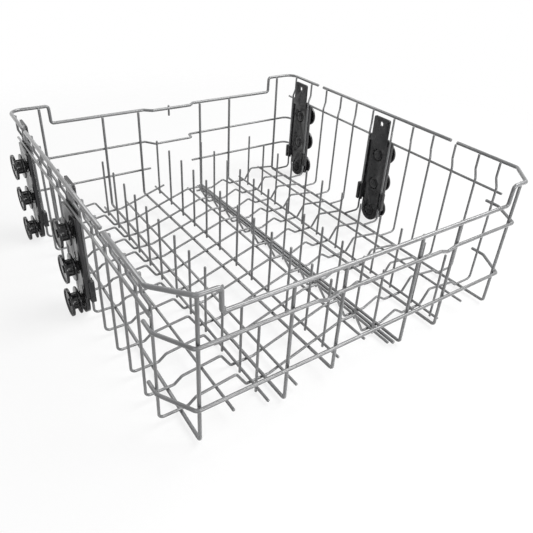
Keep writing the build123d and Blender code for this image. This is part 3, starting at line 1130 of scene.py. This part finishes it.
@dataclass(frozen=True)
class RollerPlan:
    """Sizes of a roller and its pin.

    Distances along the axle start at the roller's inner face and, for the pin, at the plate's.
    """

    plate_in: float = 242.0
    roller_in: float = 248.07
    bore: float = 3.05
    hub: float = 9.25
    hub_length: float = 3.0
    inner_flange: float = 17.5
    flange: float = 2.0
    groove: float = 9.5
    groove_length: float = 7.5
    outer_flange: float = 18.0
    lip: float = 1.6
    lip_height: float = 1.3
    dish_draft: float = 0.4
    ribs: int = 8
    rib_width: float = 1.6
    rib_height: float = 1.0
    pin: float = 3.0
    head: float = 6.0
    head_height: float = 1.5
    head_gap: float = 0.02
    cap: float = 5.0
    cap_height: float = 1.0
    play: float = 0.3
    hub_round: float = 0.5
    hub_foot: float = 0.6
    flange_round: float = 0.7
    groove_foot: float = 1.1
    rim_round: float = 0.6
    lip_round: float = 0.5
    dish_foot: float = 0.4
    head_round: float = 0.5
    cap_round: float = 0.45
    pin_foot: float = 0.2
    axle_z: tuple[float, ...] = (18.5, 68.0, 117.5)
    levels: tuple[str, ...] = ("low", "mid", "top")

    @property
    def groove_from(self) -> float:
        """Where the groove begins along the axle."""
        return self.hub_length + self.flange

    @property
    def face(self) -> float:
        """Where the dished outer face lies along the axle."""
        return self.groove_from + self.groove_length + self.flange

    def roller_outline(self) -> list[Pair]:
        """Rounded outline of a roller with its dished outer face."""
        groove_to = self.groove_from + self.groove_length
        lip_to = self.face + self.lip_height
        dish = self.outer_flange - self.lip
        return eased([
            (0.0, self.bore, 0.0),
            (0.0, self.hub, self.hub_round),
            (self.hub_length, self.hub, self.hub_foot),
            (self.hub_length, self.inner_flange, self.flange_round),
            (self.groove_from, self.inner_flange, self.flange_round),
            (self.groove_from, self.groove, self.groove_foot),
            (groove_to, self.groove, self.groove_foot),
            (groove_to, self.outer_flange, self.rim_round),
            (lip_to, self.outer_flange, self.lip_round),
            (lip_to, dish, self.lip_round),
            (self.face, dish - self.dish_draft, self.dish_foot),
            (self.face, self.bore, 0.0),
        ])

    def pin_outline(self) -> list[Pair]:
        """Rounded outline of an axle pin, from its head inside the plate to its cap."""
        cap_from = self.roller_in - self.plate_in + self.face + self.play
        cap_to = cap_from + self.cap_height
        return eased([
            (-self.head_height, 0.0, 0.0),
            (-self.head_height, self.head, self.head_round),
            (-self.head_gap, self.head, self.pin_foot),
            (-self.head_gap, self.pin, 0.0),
            (cap_from, self.pin, 0.0),
            (cap_from, self.cap, self.pin_foot),
            (cap_to, self.cap, self.cap_round),
            (cap_to, 0.0, 0.0),
        ])


class BlockRing(PieceTree):
    """Tree that adds a ring of small blocks round an axle to a moulding."""

    def __init__(self) -> None:
        """Build the tree."""
        kinds = {"Blocks": "Int", "Ring Radius": "Float", "Block Size": "Vector", "Ring Centre": "Vector"}
        super().__init__("block_ring", "Moulding", kinds, "Ringed")
        tree, given = self.tree, self.given
        links = {"Vertices": given["Blocks"], "Radius": given["Ring Radius"]}
        ring = add_node(tree, "GeometryNodeMeshCircle", links=links)
        block = add_node(tree, "GeometryNodeMeshCube", links={"Size": given["Block Size"]})
        links = {0: add_node(tree, "GeometryNodeInputIndex"), 1: given["Blocks"]}
        share = add_node(tree, "ShaderNodeMath", links=links, operation="DIVIDE")
        angle = add_node(tree, "ShaderNodeMath", {1: 2.0 * math.pi}, {0: share}, operation="MULTIPLY")
        turn = add_node(tree, "ShaderNodeCombineXYZ", links={"Z": angle})
        links = {"Points": ring, "Instance": block, "Rotation": turn}
        spread = add_node(tree, "GeometryNodeInstanceOnPoints", links=links)
        upright = {"Rotation": (0.0, math.pi / 2.0, 0.0)}
        links = {"Geometry": spread, "Translation": given["Ring Centre"]}
        placed = add_node(tree, "GeometryNodeTransform", upright, links)
        joined = add_node(tree, "GeometryNodeJoinGeometry", links={"Geometry": given["Moulding"]})
        tree.links.new(placed, joined.node.inputs["Geometry"])
        self.close(joined)

    def add(
        self, temp: Object, count: int, radius: float, size: Point, centre: Point, finish: Material
    ) -> None:
        """Give an object the modifier that adds one ring.

        Args:
            temp: The object.
            count: Number of blocks.
            radius: Radius of the ring in mm.
            size: Size of a block in mm: across the ring, along it and along the axle.
            centre: Middle of the ring in mm.
            finish: Material of the moulding.
        """
        values = {"Blocks": count, "Ring Radius": radius * MM, "Finish": finish}
        values["Block Size"] = [s * MM for s in size]
        values["Ring Centre"] = [c * MM for c in centre]
        self.apply(temp, values)


@dataclass(frozen=True)
class Stand:
    """Where a carrier stands: its side and place, the sign of X that leads out, and its depth."""

    tag: str
    out: int
    y: float


@dataclass
class RollerCarriers:
    """Four moulded carriers with their pins and rollers."""

    plan: BasketPlan
    finishes: Finishes
    nodes: dict[str, Object]
    roller: RollerPlan = RollerPlan()
    ring: BlockRing = field(default_factory=BlockRing)
    bays: tuple[tuple[str, int], ...] = (("front", 5), ("back", 10))
    edge: float = 0.35
    edge_steps: int = 2
    edge_angle: float = 35.0
    merge: float = 0.002
    flat_angle: float = 1.0
    teeth: int = 11
    tooth: Point = (1.5, 1.7, 3.2)
    tooth_ring: float = 9.8
    tooth_inset: float = 0.4
    roller_steps: int = 64
    pin_steps: int = 32

    def build(self) -> list[Object]:
        """Build the carriers, pins and rollers.

        Returns:
            The pieces.
        """
        pieces = []
        for side in Side:
            for place, first in self.bays:
                y = (self.plan.cross_y[first] + self.plan.cross_y[first + 1]) / 2.0
                stand = Stand(f"{side.word}_{place}", side.value, y)
                pieces += [self.moulding(stand), self.pins(stand)]
                for level, z in zip(self.roller.levels, self.roller.axle_z):
                    pieces.append(self.spool(stand, level, z))
        return pieces

    def moulding(self, stand: Stand) -> Object:
        """Round the edges of a copy of the CAD carrier and set snap teeth in its slots.

        Args:
            stand: Where the carrier stands.

        Returns:
            The carrier's piece.
        """
        name, node = f"moulding_{stand.tag}", f"carrier_{stand.tag}"
        bm = bmesh.new()
        bm.from_mesh(self.nodes[node].data)
        bmesh.ops.remove_doubles(bm, verts=bm.verts, dist=self.merge * MM)
        flat = math.radians(self.flat_angle)
        bmesh.ops.dissolve_limit(bm, angle_limit=flat, verts=bm.verts, edges=bm.edges)
        mesh = bpy.data.meshes.new(name)
        bm.to_mesh(mesh)
        bm.free()
        temp = link_object(name + "_raw", mesh)
        bevel = temp.modifiers.new("edges", "BEVEL")
        bevel.width = self.edge * MM
        bevel.segments = self.edge_steps
        bevel.limit_method = "ANGLE"
        bevel.angle_limit = math.radians(self.edge_angle)
        x = stand.out * (self.roller.plate_in + self.tooth[2] / 2.0 + self.tooth_inset)
        for z in self.roller.axle_z:
            middle = (x, stand.y, z)
            self.ring.add(temp, self.teeth, self.tooth_ring, self.tooth, middle, self.finishes.carrier)
        piece = evaluated_piece(temp, name)
        sharpen(piece.data)
        piece.data.materials.clear()
        piece.data.materials.append(self.finishes.carrier)
        settle(piece, BASKET, [node])
        return piece

    def pins(self, stand: Stand) -> Object:
        """Turn the three pins of a carrier.

        Args:
            stand: Where the carrier stands.

        Returns:
            The pins as one piece.
        """
        plan, name = self.roller, f"pins_{stand.tag}"
        starts = [Vector((stand.out * plan.plate_in, stand.y, z)) for z in plan.axle_z]
        mesh = turned_mesh(name, plan.pin_outline(), starts, stand.out, self.pin_steps)
        sharpen(mesh)
        mesh.materials.append(self.finishes.carrier)
        piece = link_object(name, mesh)
        settle(piece, BASKET, [f"axles_{stand.tag}"])
        return piece

    def spool(self, stand: Stand, level: str, z: float) -> Object:
        """Turn one roller and add its ribs.

        Args:
            stand: Where its carrier stands.
            level: Which of the carrier's rollers it is.
            z: Height of its axle.

        Returns:
            The roller's piece.
        """
        plan, out = self.roller, stand.out
        name, node = f"spool_{stand.tag}_{level}", f"roller_{stand.tag}_{level}"
        axle = Vector((out * plan.roller_in, stand.y, z))
        mesh = turned_mesh(name, plan.roller_outline(), [axle], out, self.roller_steps)
        temp = link_object(name + "_turned", mesh)
        middle = (axle.x + out * (plan.groove_from + plan.groove_length / 2.0), stand.y, z)
        size = (2.0 * plan.rib_height, plan.rib_width, plan.groove_length)
        self.ring.add(temp, plan.ribs, plan.groove, size, middle, self.finishes.roller)
        piece = evaluated_piece(temp, name)
        sharpen(piece.data)
        settle(piece, node, [node])
        return piece


@dataclass(frozen=True)
class Lamp:
    """A soft lamp: its place and the width and height of its panel in metres, and its power in watts."""

    name: str
    place: Point
    size: Pair
    power: float


@dataclass
class Studio:
    """Camera at the photograph's angle, a pale floor and soft light."""

    eye: Point = (-371.7, -557.9, 443.3)
    right: Point = (0.82895, -0.55715, 0.04922)
    down: Point = (-0.25884, -0.46015, -0.84927)
    ahead: Point = (0.49582, 0.69126, -0.52565)
    focal_px: float = 537.871
    centre_y_px: float = 243.0
    sensor: float = 36.0
    clip_start: float = 0.01
    floor_size: float = 12.0
    floor_drop: float = 0.0003
    floor_drift: Pair = (3.0, 2.0)
    floor_dark: Colour = (0.93, 0.93, 0.93)
    floor_light: Colour = (0.95, 0.95, 0.95)
    floor_roughness: float = 0.9
    sky: float = 0.09
    glow: float = 0.8
    fade: Pair = (0.55, 1.15)
    aim: Point = (0.0, 0.0, 0.08)
    lamps: tuple[Lamp, ...] = (
        Lamp("right_panel", (1.05, -0.4, 1.76), (1.3, 1.4), 40.0),
        Lamp("back_strip", (-0.2, 1.5, 1.5), (1.5, 0.5), 8.0),
        Lamp("front_softbox", (-1.2, -1.4, 1.6), (0.6, 0.6), 8.0),
        Lamp("front_low", (0.2, -1.05, 0.4), (0.6, 0.3), 4.5),
    )

    def build(self) -> None:
        """Set up the camera, floor, sky and lamps."""
        bpy.context.scene.view_settings.view_transform = "Standard"
        self.camera()
        self.floor()
        self.world()
        for lamp in self.lamps:
            self.hang(lamp)

    def camera(self) -> None:
        """Place the camera solved from the photograph."""
        data = bpy.data.cameras.new("photo_camera")
        data.sensor_width = self.sensor
        data.lens = self.focal_px / IMAGE_PX * self.sensor
        data.shift_y = (self.centre_y_px - IMAGE_PX / 2.0) / IMAGE_PX
        data.clip_start = self.clip_start
        camera = bpy.data.objects.new("photo_camera", data)
        axes = Matrix((Vector(self.right), -Vector(self.down), -Vector(self.ahead))).transposed()
        camera.matrix_world = Matrix.Translation(Vector(self.eye) * MM) @ axes.to_4x4()
        bpy.context.scene.collection.objects.link(camera)
        bpy.context.scene.camera = camera

    def floor(self) -> None:
        """Lay a pale floor that keeps a light shadow and fades into the white backdrop."""
        half = self.floor_size / 2.0
        corners = [(x * half, y * half, -self.floor_drop) for x, y in ((-1, -1), (1, -1), (1, 1), (-1, 1))]
        mesh = bpy.data.meshes.new("pale_floor")
        mesh.from_pydata(corners, [], [range(len(corners))])
        look = Look("pale_floor")
        tree = look.tree
        look.colour(look.noise(*self.floor_drift), self.floor_dark, self.floor_light)
        look.constants({"Roughness": self.floor_roughness})
        far = add_node(tree, "ShaderNodeVectorMath", None, {0: look.coords}, "Value", operation="LENGTH")
        share = add_node(
            tree,
            "ShaderNodeMapRange",
            {"From Min": self.fade[0], "From Max": self.fade[1]},
            {"Value": far},
            interpolation_type="SMOOTHSTEP",
        )
        path = add_node(tree, "ShaderNodeLightPath", output="Is Camera Ray")
        seen = add_node(tree, "ShaderNodeMath", {1: self.glow}, {0: path}, operation="MULTIPLY")
        links = {"Fac": seen, 1: look.shader.outputs["BSDF"], 2: add_node(tree, "ShaderNodeEmission")}
        paler = add_node(tree, "ShaderNodeMixShader", links=links)
        links = {"Fac": share, 1: paler, 2: add_node(tree, "ShaderNodeBsdfTransparent")}
        mix = add_node(tree, "ShaderNodeMixShader", links=links)
        tree.links.new(mix, tree.nodes["Material Output"].inputs["Surface"])
        mesh.materials.append(look.material)
        link_object("pale_floor", mesh)

    def world(self) -> None:
        """Light from all round, white where the camera or a reflection looks."""
        world = bpy.data.worlds.new("soft_sky")
        bpy.context.scene.world = world
        world.use_nodes = True
        tree = world.node_tree
        light = tree.nodes["Background"]
        light.inputs["Color"].default_value = (1.0, 1.0, 1.0, 1.0)
        light.inputs["Strength"].default_value = self.sky
        white = add_node(tree, "ShaderNodeBackground", {"Color": (1.0, 1.0, 1.0, 1.0)})
        seen = add_node(tree, "ShaderNodeLightPath", output="Is Camera Ray")
        path = seen.node.outputs
        for kind in ("Is Glossy Ray", "Is Transmission Ray"):
            links = {0: seen, 1: path[kind]}
            seen = add_node(tree, "ShaderNodeMath", links=links, operation="MAXIMUM")
        links = {"Fac": seen, 1: light.outputs["Background"], 2: white}
        mix = add_node(tree, "ShaderNodeMixShader", links=links)
        tree.links.new(mix, tree.nodes["World Output"].inputs["Surface"])

    def hang(self, lamp: Lamp) -> None:
        """Hang a lamp that looks at the basket.

        Args:
            lamp: The lamp.
        """
        data = bpy.data.lights.new(lamp.name, "AREA")
        data.shape = "RECTANGLE"
        data.size, data.size_y = lamp.size
        data.energy = lamp.power
        hung = bpy.data.objects.new(lamp.name, data)
        hung.location = lamp.place
        hung.visible_camera = False
        way = Vector(self.aim) - Vector(lamp.place)
        hung.rotation_euler = way.to_track_quat("-Z", "Y").to_euler()
        bpy.context.scene.collection.objects.link(hung)


def main() -> None:
    """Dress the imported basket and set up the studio."""
    logging.basicConfig(level=logging.INFO, format="%(name)s: %(message)s")
    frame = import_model()
    plan = BasketPlan()
    finishes = Finishes()
    pieces = WireBasket(plan, finishes.wire).build()
    pieces += RollerCarriers(plan, finishes, frame["nodes"]).build()
    Studio().build()
    log.info("%d pieces", len(pieces))


if __name__ == "__main__":
    main()
